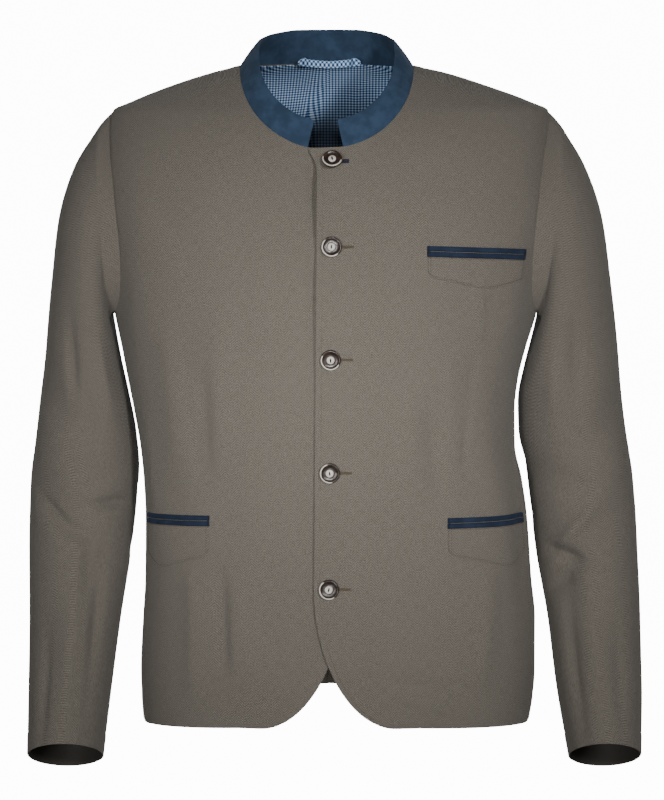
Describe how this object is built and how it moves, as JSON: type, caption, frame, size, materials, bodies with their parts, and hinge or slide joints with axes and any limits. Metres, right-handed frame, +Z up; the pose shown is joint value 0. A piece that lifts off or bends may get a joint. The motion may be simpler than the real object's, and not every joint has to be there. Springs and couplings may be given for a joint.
{
  "type": "trachten jacket",
  "caption": "Lapel-free trachten jacket with a blue stand collar, buttoned front, piped pockets and two-piece sleeves, kept in its worn form.",
  "frame": {"origin": "between the shoulders, at the height of the neck's sides, where the wearer carries the jacket", "axes": "+Z up, -Y the front, +X the wearer's left"},
  "size_m": [0.6411, 0.258, 0.7784],
  "materials": {
    "cloth": "matt olive-grey linen and wool blend in a small herringbone weave",
    "trim_blue": "matt dark blue suede-like cloth",
    "gingham": "smooth blue and white gingham cotton",
    "button": "polished dark horn with a pale metal middle"
  },
  "bodies": {
    "root": {"front_left": "cloth", "front_right": "cloth", "back_left": "cloth", "back_right": "cloth", "sleeve_left_top": "cloth", "sleeve_left_under": "cloth", "sleeve_right_top": "cloth", "sleeve_right_under": "cloth", "chest_flap": "cloth", "hip_left_flap": "cloth", "hip_right_flap": "cloth", "collar": "trim_blue", "chest_piping_upper": "trim_blue", "chest_piping_lower": "trim_blue", "hip_left_piping_upper": "trim_blue", "hip_left_piping_lower": "trim_blue", "hip_right_piping_upper": "trim_blue", "hip_right_piping_lower": "trim_blue", "lining_back": "gingham", "hanger_loop": "gingham", "button_1": "button", "button_2": "button", "button_3": "button", "button_4": "button", "button_5": "button"}
  },
  "joints": []
}
